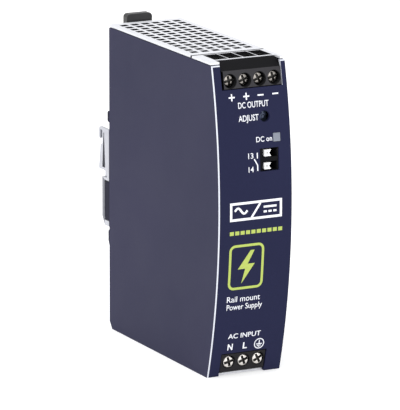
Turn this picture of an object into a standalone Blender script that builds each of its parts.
"""Slim DIN rail power supply, modelled as separate pieces.

Frame: origin at the centre of the rail seat (the plane that bears on a 35 mm
top hat rail). +Z up, +X to the right seen from the front, +Y into the rail.
All constants below are in millimetres; meshes are stored in metres.
"""
import math

import bmesh
import bpy
from mathutils import Vector

MM = 0.001
GAP = 0.3                      # running gap between touching sheet parts

# case
HALF_W = 16.0                  # half of the 32 mm width
Z_BOT, Z_SIDE, Z_TOP = -63.0, 61.0, 62.2
SHEET = 0.9                    # side panel sheet
BRACKET_SHEET = 1.2
FRONT_SHEET = 1.5
COVER_SHEET = 0.9
Y_REAR = -6.75                 # rear edge of the side panels
BOW_R, BOW_Z, Y_APEX = 246.0, 3.9, -102.0

# perforation of the covers
HOLE, PITCH_X, PITCH_Y = 3.05, 4.70, 4.67
ROW0_Y, ROWS, COLS = -72.75, 14, 6

# terminals
PITCH = 6.35
OUT_X = [1.3 + PITCH * k for k in (-1.5, -0.5, 0.5, 1.5)]
WINDOW_X = [0.8 + PITCH * k for k in (-1.5, -0.5, 0.5, 1.5)]
IN_X = [-0.65 + PITCH * k for k in (-1, 0, 1)]
OUT_Z, IN_Z = 54.6, -57.3
HEAD_R = 2.4
OUT_HEAD, IN_HEAD = (-95.1, -93.3), (-93.8, -92.2)
SHANK_R, SHANK_END = 1.5, -87.7
BORE_R, STEM_R = 2.6, 1.8
CAGE_X, CAGE_IN_X = 2.75, 2.25
CAGE_Y0, CAGE_Y1 = -88.7, -81.2
CAGE_IN_Y0, CAGE_IN_Y1 = -87.7, -82.2
CAGE_H = 2.8                   # half height of a clamp cage
POCKET_X, POCKET_Y0, POCKET_Y1 = 2.88, -91.55, -80.9
SLOT_Y0, SLOT_Y1 = -87.7, -86.2
BAR_Y0, BAR_Y1 = -87.4, -86.5
WIN_X, WIN_Y0, WIN_Y1 = 2.95, -90.0, -80.0

# signal terminal, trimmer, lamp
SIG_X0, SIG_X1, SIG_Z0, SIG_Z1 = 2.4, 10.6, 19.1, 28.0
ACT_Z = (26.15, 21.03)
POT_X, POT_Z, POT_R = 5.35, 40.25, 2.15
LED_X0, LED_X1, LED_Z0, LED_Z1 = 8.4, 11.7, 30.1, 33.6

# rail seat and latch
RAIL_HALF = 17.5
TAB_X0, TAB_X1 = -7.1, 4.2
LATCH_X = 0.5 * (TAB_X0 + TAB_X1)
SPRING_Z0, SPRING_Z1 = -1.9, 11.9

COLOURS = {
    "blue_side": ((0.058, 0.062, 0.107), 0.48, 0.15),
    "blue_front": ((0.030, 0.031, 0.084), 0.42, 0.1),
    "zinc": ((0.86, 0.87, 0.90), 0.36, 0.75),
    "steel": ((0.62, 0.62, 0.64), 0.30, 1.0),
    "black": ((0.020, 0.020, 0.022), 0.45, 0.0),
    "nickel": ((0.74, 0.72, 0.68), 0.22, 1.0),
    "copper": ((0.78, 0.55, 0.36), 0.30, 1.0),
    "white": ((0.80, 0.80, 0.78), 0.50, 0.0),
    "clear": ((0.36, 0.37, 0.38), 0.20, 0.0),
    "grey": ((0.40, 0.40, 0.42), 0.45, 0.0),
    "board": ((0.05, 0.20, 0.09), 0.50, 0.0),
    "ferrite": ((0.06, 0.06, 0.07), 0.65, 0.0),
    "tape": ((0.80, 0.62, 0.10), 0.45, 0.0),
    "sleeve": ((0.03, 0.05, 0.20), 0.35, 0.0),
    "alu": ((0.72, 0.73, 0.75), 0.40, 1.0),
    "epoxy": ((0.03, 0.03, 0.03), 0.55, 0.0),
    "film": ((0.62, 0.50, 0.08), 0.45, 0.0),
}

for old in list(bpy.data.objects):
    bpy.data.objects.remove(old, do_unlink=True)


def bow(z):
    """Depth of the bowed front at a height."""
    return Y_APEX + BOW_R - math.sqrt(BOW_R ** 2 - (z - BOW_Z) ** 2)


def new():
    return bmesh.new()


def place(axis, u, v, w):
    """A point from two in-plane values and one along the axis."""
    if axis == "X":
        return (w, u, v)
    if axis == "Y":
        return (u, w, v)
    return (u, v, w)


def prism(bm, axis, points, lo, hi):
    a = [bm.verts.new(place(axis, u, v, lo)) for u, v in points]
    b = [bm.verts.new(place(axis, u, v, hi)) for u, v in points]
    n = len(points)
    bm.faces.new(a)
    bm.faces.new(b[::-1])
    for i in range(n):
        j = (i + 1) % n
        bm.faces.new((a[i], b[i], b[j], a[j]))
    return bm


def box(bm, x0, x1, y0, y1, z0, z1):
    return prism(bm, "Z", [(x0, y0), (x1, y0), (x1, y1), (x0, y1)], z0, z1)


def circle(cu, cv, r, n, turn=0.5):
    return [(cu + r * math.cos(2 * math.pi * (k + turn) / n),
             cv + r * math.sin(2 * math.pi * (k + turn) / n)) for k in range(n)]


def cyl(bm, axis, cu, cv, r, lo, hi, n=24):
    return prism(bm, axis, circle(cu, cv, r, n), lo, hi)


def lathe(bm, axis, cu, cv, profile, n=24):
    """Turned solid: profile is (radius, position) from one end to the other."""
    rings = []
    for r, w in profile:
        if r == 0:
            rings.append([bm.verts.new(place(axis, cu, cv, w))])
        else:
            rings.append([bm.verts.new(place(axis, u, v, w)) for u, v in circle(cu, cv, r, n)])
    for a, b in zip(rings, rings[1:]):
        for k in range(n):
            m = (k + 1) % n
            quad = [a[k % len(a)], b[k % len(b)], b[m % len(b)], a[m % len(a)]]
            quad = list(dict.fromkeys(quad))
            if len(quad) > 2:
                bm.faces.new(quad)
    return bm


def torus(bm, centre, major, minor, n=28, m=10):
    """Ring whose axis is X."""
    rings = []
    for i in range(n):
        a = 2 * math.pi * i / n
        ring = []
        for j in range(m):
            b = 2 * math.pi * (j + 0.5) / m
            r = major + minor * math.cos(b)
            ring.append(bm.verts.new((centre[0] + minor * math.sin(b),
                                      centre[1] + r * math.cos(a),
                                      centre[2] + r * math.sin(a))))
        rings.append(ring)
    for i in range(n):
        for j in range(m):
            a, b = rings[i], rings[(i + 1) % n]
            bm.faces.new((a[j], a[(j + 1) % m], b[(j + 1) % m], b[j]))
    return bm


def cells(bm, us, vs, solid, point):
    """Plate on a grid: solid(i, j) says which cells hold material and
    point(u, v, side) gives the corner on side 0 or 1."""
    cache = {}

    def corner(i, j, s):
        key = (i, j, s)
        if key not in cache:
            cache[key] = bm.verts.new(point(us[i], vs[j], s))
        return cache[key]

    nu, nv = len(us) - 1, len(vs) - 1
    filled = {(i, j) for i in range(nu) for j in range(nv)
              if solid(0.5 * (us[i] + us[i + 1]), 0.5 * (vs[j] + vs[j + 1]))}
    for i, j in filled:
        loop = ((i, j), (i + 1, j), (i + 1, j + 1), (i, j + 1))
        bm.faces.new([corner(a, b, 0) for a, b in loop])
        bm.faces.new([corner(a, b, 1) for a, b in reversed(loop)])
        for (a, b), (c, d), other in ((loop[0], loop[1], (i, j - 1)),
                                      (loop[1], loop[2], (i + 1, j)),
                                      (loop[2], loop[3], (i, j + 1)),
                                      (loop[3], loop[0], (i - 1, j))):
            if other not in filled:
                bm.faces.new((corner(a, b, 0), corner(a, b, 1), corner(c, d, 1), corner(c, d, 0)))
    return bm


def between(value, spans):
    return any(lo < value < hi for lo, hi in spans)


def add(name, bm, colour, origin=(0.0, 0.0, 0.0), smooth=False):
    bmesh.ops.remove_doubles(bm, verts=bm.verts, dist=1e-5)
    bmesh.ops.recalc_face_normals(bm, faces=bm.faces)
    at = Vector(origin)
    for v in bm.verts:
        v.co = (v.co - at) * MM
    mesh = bpy.data.meshes.new(name)
    bm.to_mesh(mesh)
    bm.free()
    ob = bpy.data.objects.new(name, mesh)
    ob.location = at * MM
    bpy.context.scene.collection.objects.link(ob)
    if colour:
        rgb, rough, metal = COLOURS[colour]
        mat = bpy.data.materials.new(name)
        mat.use_nodes = True
        shader = mat.node_tree.nodes["Principled BSDF"]
        shader.inputs["Base Color"].default_value = (*rgb, 1.0)
        shader.inputs["Roughness"].default_value = rough
        shader.inputs["Metallic"].default_value = metal
        mat.diffuse_color = (*rgb, 1.0)
        mesh.materials.append(mat)
    if smooth:
        mesh.shade_smooth()
        mesh.set_sharp_from_angle(angle=math.radians(35))
    return ob


def cut(ob, *tools):
    """Take each tool's shape out of the object, then drop the tools."""
    keep = list(ob.data.materials)
    cutters = []
    for k, bm in enumerate(tools):
        tool = add("cutter_%d" % k, bm, None)
        tool.hide_render = True
        tool.display_type = "WIRE"
        cutters.append(tool)
        mod = ob.modifiers.new("cut_%d" % k, "BOOLEAN")
        mod.operation = "DIFFERENCE"
        mod.solver = "EXACT"
        mod.object = tool
    bpy.context.view_layer.update()
    graph = bpy.context.evaluated_depsgraph_get()
    mesh = bpy.data.meshes.new_from_object(ob.evaluated_get(graph))
    ob.modifiers.clear()
    old = ob.data
    ob.data = mesh
    bpy.data.meshes.remove(old)
    mesh.name = ob.name
    mesh.materials.clear()
    for m in keep:
        mesh.materials.append(m)
    for tool in cutters:
        bpy.data.objects.remove(tool, do_unlink=True)
    return ob


# ---------------------------------------------------------------- side panels
def panel_outline(inset):
    """Outline in (y, z): bowed front, lugs on the rear edge."""
    pts = [(bow(z) + inset, z) for z in
           [Z_BOT + (Z_SIDE - Z_BOT) * k / 20 for k in range(21)]]
    pts += [(Y_REAR - 0.5, Z_SIDE), (Y_REAR, Z_SIDE - 0.5)]
    pts += [(Y_REAR, 26.7), (Y_REAR + 1.6, 26.3), (Y_REAR + 1.6, 22.6), (Y_REAR, 22.2)]
    pts += [(Y_REAR, -2.5), (-3.9, -2.5), (-2.75, -3.9), (-2.75, -16.6), (-3.4, -18.0), (-4.9, -18.5), (Y_REAR, -18.5)]
    pts += [(Y_REAR, -22.0), (Y_REAR + 0.25, -22.3), (Y_REAR + 0.25, -27.0), (Y_REAR, -28.0)]
    pts += [(Y_REAR, Z_BOT + 3.0), (Y_REAR - 2.3, Z_BOT)]
    return pts


bm = prism(new(), "X", panel_outline(0.0), -HALF_W, -HALF_W + SHEET)
add("side_panel_left", bm, "blue_side")
bm = prism(new(), "X", panel_outline(FRONT_SHEET + GAP), HALF_W - SHEET, HALF_W)
add("side_panel_right", bm, "blue_side")

# ---------------------------------------------------------------- front panel
FX0, FX1 = -HALF_W + SHEET + GAP, HALF_W
TOP_NOTCH = (-12.2, 14.0, 51.4)
LOW_NOTCH = (-10.9, 9.0, -53.6)
F_TOP = Z_SIDE - 0.1
us = sorted({FX0, FX1, TOP_NOTCH[0], TOP_NOTCH[1], LOW_NOTCH[0], LOW_NOTCH[1],
             SIG_X0, SIG_X1, LED_X0, LED_X1})
vs = sorted({Z_BOT, F_TOP, TOP_NOTCH[2], LOW_NOTCH[2], SIG_Z0, SIG_Z1, LED_Z0, LED_Z1}
            | {-58.0 + 8.0 * k for k in range(9)} | {13.0, 36.5, 44.5})


def front_solid(x, z):
    if z > TOP_NOTCH[2] and TOP_NOTCH[0] < x < TOP_NOTCH[1]:
        return False
    if z < LOW_NOTCH[2] and LOW_NOTCH[0] < x < LOW_NOTCH[1]:
        return False
    if SIG_X0 < x < SIG_X1 and SIG_Z0 < z < SIG_Z1:
        return False
    return not (LED_X0 < x < LED_X1 and LED_Z0 < z < LED_Z1)


bm = cells(new(), us, vs, front_solid, lambda x, z, s: (x, bow(z) + s * FRONT_SHEET, z))
front = add("front_panel", bm, "blue_front", smooth=True)
cut(front, cyl(new(), "Y", POT_X, POT_Z, POT_R, -110.0, -90.0, 20))

# ------------------------------------------------------------ covers, plates
col_x = [PITCH_X * (k - (COLS - 1) / 2) for k in range(COLS)]
row_y = [ROW0_Y + PITCH_Y * k for k in range(ROWS)]
h = HOLE / 2
holes_x = [(x - h, x + h) for x in col_x]
holes_y = [(y - h, y + h) for y in row_y]


def perforated(name, x0, x1, y0, y1, z0, z1):
    us = sorted({x0, x1} | {v for s in holes_x for v in s})
    vs = sorted({y0, y1} | {v for s in holes_y for v in s})
    bm = cells(new(), us, vs, lambda x, y: not (between(x, holes_x) and between(y, holes_y)),
               lambda x, y, s: (x, y, (z1, z0)[s]))
    return add(name, bm, "zinc")


perforated("top_vent_cover", -HALF_W, HALF_W, -78.1, Y_REAR - 0.1, Z_TOP - COVER_SHEET, Z_TOP)
perforated("bottom_vent_cover", -14.5, 14.5, -78.1, -8.2, Z_BOT, Z_BOT + COVER_SHEET)

wins = [(x - WIN_X, x + WIN_X) for x in WINDOW_X]
us = sorted({-HALF_W, HALF_W, TOP_NOTCH[0], TOP_NOTCH[1]} | {v for s in wins for v in s})
bm = cells(new(), us, [-95.0, WIN_Y0 - 0.4, WIN_Y0, WIN_Y1, -78.5],
           lambda x, y: not (between(x, wins) and WIN_Y0 < y < WIN_Y1)
           and not (y < WIN_Y0 - 0.4 and TOP_NOTCH[0] < x < TOP_NOTCH[1]),
           lambda x, y, s: (x, y, (Z_TOP, Z_TOP - COVER_SHEET)[s]))
add("output_entry_plate", bm, "zinc")

wins = [(x - WIN_X, x + WIN_X) for x in IN_X]
us = sorted({-14.5, 14.5} | {v for s in wins for v in s})
bm = cells(new(), us, [-91.2, WIN_Y0, WIN_Y1, -78.5],
           lambda x, y: not (between(x, wins) and WIN_Y0 < y < WIN_Y1),
           lambda x, y, s: (x, y, (Z_BOT + COVER_SHEET, Z_BOT)[s]))
add("input_entry_plate", bm, "zinc")

SCREW_XZ = {"upper": (10.0, 11.0), "lower": (-10.5, -11.0)}
rear = add("rear_plate", box(new(), -14.5, 14.5, -7.9, -6.9, Z_BOT, Z_SIDE), "zinc")
for x, z in SCREW_XZ.values():
    cut(rear, cyl(new(), "Y", x, z, 1.75, -9.0, -6.0, 16))

# ------------------------------------------------------------ output terminal
pts = [(-95.4, 50.6), (-95.4, 51.7), (-97.0, 51.75), (-95.6, 58.6), (-90.8, 61.9), (-90.7, 61.9), (-90.7, 61.0), (-78.0, 61.0), (-78.0, 50.6)]
block = add("output_terminal_block", prism(new(), "X", pts, -11.7, 14.4), "black")
cut(block, box(new(), -12.5, -11.1, -98.5, -93.4, 50.0, 58.5), box(new(), 13.7, 15.0, -98.5, -93.4, 50.0, 63.0))
cut(block, box(new(), 13.7, 15.0, -94.5, -89.0, 60.8, 63.0))
for x in OUT_X:
    pocket = box(new(), x - POCKET_X, x + POCKET_X, POCKET_Y0, POCKET_Y1, OUT_Z - 3.1, OUT_Z + 3.1)
    bore = lathe(new(), "Y", x, OUT_Z, [(0, -99.0), (BORE_R, -99.0), (BORE_R, OUT_HEAD[1] + 0.3), (STEM_R, OUT_HEAD[1] + 0.3), (STEM_R, POCKET_Y0 + 1.0), (0, POCKET_Y0 + 1.0)], 20)
    funnel = prism(new(), "X", [(-89.8, 61.5), (-82.2, 61.5), (-82.2, 57.2), (-86.6, 57.2)], x - 2.65, x + 2.65)
    slot = box(new(), x - 2.2, x + 2.2, SLOT_Y0, SLOT_Y1, 50.0, 52.0)
    cut(block, pocket, bore, funnel, slot)


def screw(name, x, z, head):
    y0, y1 = head
    bm = lathe(new(), "Y", x, z, [(0, y0), (HEAD_R - 0.25, y0), (HEAD_R, y0 + 0.3),
                                  (HEAD_R, y1), (SHANK_R, y1), (SHANK_R, SHANK_END - 0.4),
                                  (SHANK_R - 0.4, SHANK_END), (0, SHANK_END)], 20)
    ob = add(name, bm, "nickel", origin=(x, y0, z), smooth=True)
    cut(ob, box(new(), x - 0.45, x + 0.45, y0 - 1.3, y0 + 1.0, z - 1.8, z + 1.8))
    cut(ob, box(new(), x - 1.8, x + 1.8, y0 - 1.3, y0 + 1.0, z - 0.45, z + 0.45))
    return ob


def cage(name, x, z):
    bm = cells(new(), [x - CAGE_X, x - CAGE_IN_X, x + CAGE_IN_X, x + CAGE_X],
               [CAGE_Y0, CAGE_IN_Y0, CAGE_IN_Y1, CAGE_Y1],
               lambda u, v: not (abs(u - x) < CAGE_IN_X and CAGE_IN_Y0 < v < CAGE_IN_Y1),
               lambda u, v, s: (u, v, (z + CAGE_H, z - CAGE_H)[s]))
    ob = add(name, bm, "nickel", origin=(x, CAGE_Y0, z))
    return cut(ob, cyl(new(), "Y", x, z, SHANK_R + 0.22, CAGE_Y0 - 1.5, CAGE_IN_Y0 + 0.3, 16))


for k, x in enumerate(OUT_X, 1):
    screw("output_screw_%d" % k, x, OUT_Z, OUT_HEAD)
    cage("output_cage_%d" % k, x, OUT_Z)


def bar_pair(name, xa, xb):
    pts = [(xa - 1.9, 48.2), (xb + 1.9, 48.2), (xb + 1.9, 57.3), (xb - 1.9, 57.3), (xb - 1.9, 50.2),
           (xa + 1.9, 50.2), (xa + 1.9, 57.3), (xa - 1.9, 57.3)]
    add(name, prism(new(), "Y", pts, BAR_Y0, BAR_Y1), "copper")


bar_pair("contact_bar_positive", OUT_X[0], OUT_X[1])
bar_pair("contact_bar_negative", OUT_X[2], OUT_X[3])

# ------------------------------------------------------------- input terminal
pts = [(-92.8, -61.5), (-94.7, -53.95), (-93.2, -53.9), (-93.2, -51.0), (-78.0, -51.0), (-78.0, -61.5)]
block = add("input_terminal_block", prism(new(), "X", pts, -10.6, 9.3), "black")
cut(block, box(new(), 8.7, 10.0, -98.0, -91.2, -63.0, -53.5))
for x in IN_X:
    pocket = box(new(), x - POCKET_X, x + POCKET_X, POCKET_Y0, POCKET_Y1, IN_Z - 3.1, IN_Z + 3.1)
    bore = lathe(new(), "Y", x, IN_Z, [(0, -97.0), (BORE_R, -97.0), (BORE_R, IN_HEAD[1] + 0.25), (STEM_R, IN_HEAD[1] + 0.25), (STEM_R, POCKET_Y0 + 1.0), (0, POCKET_Y0 + 1.0)], 20)
    funnel = prism(new(), "X", [(-89.8, -62.0), (-82.2, -62.0), (-82.2, -60.0), (-86.6, -60.0)], x - 2.65, x + 2.65)
    slot = box(new(), x - 2.2, x + 2.2, SLOT_Y0, SLOT_Y1, -55.0, -50.0)
    cut(block, pocket, bore, funnel, slot)
for key, x in zip(("neutral", "live", "earth"), IN_X):
    screw("input_screw_" + key, x, IN_Z, IN_HEAD)
    cage("input_cage_" + key, x, IN_Z)
    add("contact_bar_" + key, box(new(), x - 1.9, x + 1.9, BAR_Y0, BAR_Y1, IN_Z - 2.9, -48.5), "copper")

# ------------------------------------------------------------ signal terminal
block = add("signal_terminal_block",
            box(new(), SIG_X0 + GAP, SIG_X1 - GAP, -101.0, -87.0, SIG_Z0 + GAP, SIG_Z1 - GAP), "black")
for z in ACT_Z:
    cut(block, box(new(), 3.75, 7.25, -103.0, -92.3, z - 1.65, z + 1.65),
        prism(new(), "Z", [(7.75, -92.0), (9.4, -92.0), (9.9, -103.0), (7.55, -103.0)], z - 1.25, z + 1.25))
for key, z in zip(("upper", "lower"), ACT_Z):
    ob = add("signal_actuator_" + key, box(new(), 4.0, 7.0, -101.2, -94.0, z - 1.35, z + 1.35), "white",
             origin=(5.5, -101.2, z))
    cut(ob, cyl(new(), "Y", 5.5, z, 0.45, -102.0, -100.6, 12))

# --------------------------------------------------------- trimmer and lamp
body = add("trim_pot_body", box(new(), POT_X - 3.5, POT_X + 3.5, -94.0, -86.8, POT_Z - 3.5, POT_Z + 3.5), "epoxy")
cut(body, cyl(new(), "Y", POT_X, POT_Z, 1.9, -95.0, -91.6, 20))
ob = add("trim_pot_rotor", cyl(new(), "Y", POT_X, POT_Z, 1.6, -96.2, -91.9, 20), "white",
         origin=(POT_X, -96.2, POT_Z), smooth=True)
cut(ob, box(new(), POT_X - 0.3, POT_X + 0.3, -97.0, -95.5, POT_Z - 1.2, POT_Z + 1.2))
cut(ob, box(new(), POT_X - 1.2, POT_X + 1.2, -97.0, -95.5, POT_Z - 0.3, POT_Z + 0.3))
add("led_light_pipe", prism(new(), "X", [(-100.6, LED_Z0 + GAP), (-100.3, LED_Z1 - GAP), (-87.2, LED_Z1 - GAP - 0.4), (-87.2, LED_Z0 + GAP + 0.4)],
                            LED_X0 + GAP, LED_X1 - GAP), "clear")

# ----------------------------------------------------- rail seat and bracket
bm = new()
cheek = [(-5.5, -21.0), (-2.6, -21.0), (-0.3, -17.6), (-0.3, -1.2), (-4.4, -1.2), (-4.4, 1.6), (2.8, 1.6), (1.2, 11.9), (-0.4, 12.3),
         (-0.4, 17.8), (1.4, 17.8), (1.4, 14.2), (2.0, 14.0), (2.8, 14.8), (2.8, 18.0), (1.9, 18.9), (-6.4, 18.9),
         (-6.4, -2.2), (-2.4, -2.2), (-2.4, -18.8), (-6.4, -18.8), (-6.4, -21.0)]
relief = [(-2.0, 17.0), (-1.5, 17.0), (-0.4, 2.7), (-3.0, 2.7)]
prism(bm, "X", cheek, -HALF_W, -HALF_W + BRACKET_SHEET)
left = add("din_bracket", bm, "zinc")
bm = prism(new(), "X", cheek, HALF_W - BRACKET_SHEET, HALF_W)
right = add("cheek_tool", bm, None)
bm = box(new(), -15.4, 15.4, -6.4, -5.5, 3.0, 18.7)
base = add("base_tool", bm, None)
bm = prism(new(), "Y", [(-15.4, -21.0), (15.4, -21.0), (15.4, -19.0), (14.0, -19.0), (14.0, 3.3), (-14.0, 3.3), (-14.0, -19.0), (-15.4, -19.0)], -6.4, -5.5)
base2 = add("base_tool_low", bm, None)
bm = box(new(), LATCH_X - 1.5, LATCH_X + 1.5, -5.9, -2.4, -3.1, -2.1)
tongue = add("tongue_tool", bm, None)
for tool in (base, base2, right, tongue):
    mod = left.modifiers.new("join", "BOOLEAN")
    mod.operation = "UNION"
    mod.solver = "EXACT"
    mod.object = tool
bpy.context.view_layer.update()
mesh = bpy.data.meshes.new_from_object(left.evaluated_get(bpy.context.evaluated_depsgraph_get()))
mat = left.data.materials[0]
left.modifiers.clear()
left.data = mesh
mesh.materials.clear()
mesh.materials.append(mat)
for tool in (base, base2, right, tongue):
    bpy.data.objects.remove(tool, do_unlink=True)
for x, z in SCREW_XZ.values():
    cut(left, cyl(new(), "Y", x, z, 1.75, -8.0, -4.0, 16))
cut(left, prism(new(), "X", relief, -HALF_W - 1.0, HALF_W + 1.0))

seat = [(-14.5, -RAIL_HALF), (-8.0, -RAIL_HALF), (-8.0, -13.8), (5.1, -13.8), (5.1, -RAIL_HALF), (14.5, -RAIL_HALF),
        (14.5, RAIL_HALF), (-14.5, RAIL_HALF)]
seat_ob = add("rail_seat_plate", prism(new(), "Y", seat, -1.5, 0.0), "zinc")

for key, (x, z) in SCREW_XZ.items():
    bm = lathe(new(), "Y", x, z, [(0, -3.3), (1.5, -3.3), (2.5, -3.9), (2.6, -5.2), (1.45, -5.2), (1.45, -9.6), (0, -9.6)], 20)
    ob = add("bracket_screw_" + key, bm, "nickel", origin=(x, -3.3, z), smooth=True)
    cut(ob, box(new(), x - 0.4, x + 0.4, -4.3, -3.0, z - 1.4, z + 1.4))
    cut(ob, box(new(), x - 1.4, x + 1.4, -4.3, -3.0, z - 0.4, z + 0.4))

# ------------------------------------------------------------------- latch
strip = [(-4.3, -21.0), (3.0, -21.0), (3.0, -15.2), (2.3, -14.5), (1.7, -14.5), (1.7, -19.6), (-3.1, -19.6), (-3.1, 61.0), (-4.3, 61.0)]
slide = add("latch_slide", prism(new(), "X", strip, LATCH_X - 5.0, LATCH_X + 5.0), "steel",
            origin=(LATCH_X, -3.7, 0.0))
cut(slide, box(new(), LATCH_X - 1.8, LATCH_X + 1.8, -6.0, -2.0, -6.8, 12.2))
tab = []
for a in range(7):
    t = math.radians(15 * a)
    tab.append((TAB_X1 - 1.6 + 1.6 * math.cos(t), 63.5 + 1.6 * math.sin(t)))
for a in range(7):
    t = math.radians(90 + 15 * a)
    tab.append((TAB_X0 + 1.6 + 1.6 * math.cos(t), 63.5 + 1.6 * math.sin(t)))
tab += [(TAB_X0, 56.0), (TAB_X1, 56.0)]
ob = add("release_tab", prism(new(), "Y", tab, -5.0, -1.5), "black", origin=(LATCH_X, -3.7, 60.0))
cut(ob, box(new(), LATCH_X - 5.3, LATCH_X + 5.3, -4.6, -2.8, 50.0, 61.3))

turns, seg, sides, coil_r, wire_r = 6, 14, 6, 1.25, 0.22
bm = new()
rings = []
steps = turns * seg
rise = (SPRING_Z1 - SPRING_Z0 - 2 * wire_r) / steps
for k in range(steps + 1):
    a = 2 * math.pi * k / seg
    c = Vector((coil_r * math.cos(a), coil_r * math.sin(a), SPRING_Z0 + wire_r + rise * k))
    radial = Vector((math.cos(a), math.sin(a), 0.0))
    ring = []
    for j in range(sides):
        b = 2 * math.pi * j / sides
        p = c + wire_r * (math.cos(b) * radial + math.sin(b) * Vector((0, 0, 1)))
        ring.append(bm.verts.new((p.x + LATCH_X, p.y - 3.7, p.z)))
    rings.append(ring)
for a, b in zip(rings, rings[1:]):
    for j in range(sides):
        bm.faces.new((a[j], a[(j + 1) % sides], b[(j + 1) % sides], b[j]))
bm.faces.new(rings[0])
bm.faces.new(rings[-1][::-1])
add("latch_spring", bm, "steel", smooth=True)

# --------------------------------------------------------------- inner parts
add("main_pcb", box(new(), 11.4, 13.0, -88.0, -10.0, -46.0, 44.0), "board")
add("control_board", box(new(), -10.0, 11.0, -86.5, -85.3, 14.0, 46.5), "board")
add("bulk_capacitor", lathe(new(), "Z", -0.5, -24.0, [(0, -42.0), (9.7, -42.0), (10.5, -41.0), (10.5, -5.0), (9.7, -4.0), (0, -4.0)], 32), "sleeve", smooth=True)
core_y = (-60.0, -55.5, -49.5, -42.5, -36.5, -32.0)
bm = cells(new(), list(core_y), [0.0, 5.0, 27.0, 32.0],
           lambda y, z: not (5.0 < z < 27.0 and (core_y[1] < y < core_y[2] or core_y[3] < y < core_y[4])),
           lambda y, z, s: ((-6.0, 6.0)[s], y, z))
add("transformer_core", bm, "ferrite")
bm = cells(new(), [-10.5, -6.3, 6.3, 10.5], [-55.2, -49.8, -42.2, -36.8],
           lambda x, y: not (abs(x) < 6.3 and -49.8 < y < -42.2),
           lambda x, y, s: (x, y, (26.6, 5.4)[s]))
add("transformer_winding", bm, "tape")
add("common_mode_choke", torus(new(), (-1.0, -66.0, -36.0), 7.0, 3.0), "copper", smooth=True)
add("x_capacitor", box(new(), -8.0, 10.8, -55.0, -42.0, -46.0, -28.0), "film")
add("input_fuse", lathe(new(), "Y", 7.0, -20.0, [(0, -80.0), (2.6, -80.0), (2.6, -75.0), (2.2, -75.0), (2.2, -65.0), (2.6, -65.0), (2.6, -60.0), (0, -60.0)], 20), "clear", smooth=True)
add("bridge_rectifier", box(new(), -4.0, 10.8, -54.0, -50.0, -22.0, -6.0), "epoxy")
fins = [(-13.0, -39.5), (-13.0, -46.5), (-11.6, -46.5), (-11.6, -41.5)]
for k in range(1, 5):
    x = -13.0 + 5.6 * k
    fins += [(x, -41.5), (x, -46.5), (x + 1.4, -46.5), (x + 1.4, -41.5)]
fins[-1] = (fins[-1][0], -39.5)
add("primary_heat_sink", prism(new(), "Z", fins, -24.0, -6.0), "alu")
add("switching_mosfet", box(new(), -5.0, 5.2, -39.2, -35.0, -22.0, -8.0), "epoxy")
add("secondary_heat_sink", box(new(), -13.0, -11.5, -80.0, -62.0, -5.0, 40.0), "alu")
add("output_rectifier", box(new(), -11.2, -6.9, -75.5, -65.0, 8.0, 24.0), "epoxy")
for k, z in ((1, 12.0), (2, 24.0)):
    add("output_capacitor_%d" % k, lathe(new(), "X", -20.0, z, [(0, -9.0), (4.6, -9.0), (5.2, -8.2), (5.2, 10.2), (4.6, 11.0), (0, 11.0)], 24), "sleeve", smooth=True)
add("output_choke", torus(new(), (2.0, -70.0, 30.5), 6.8, 3.0), "copper", smooth=True)
add("alarm_relay", box(new(), -2.0, 10.8, -80.0, -68.0, 1.0, 16.0), "white")
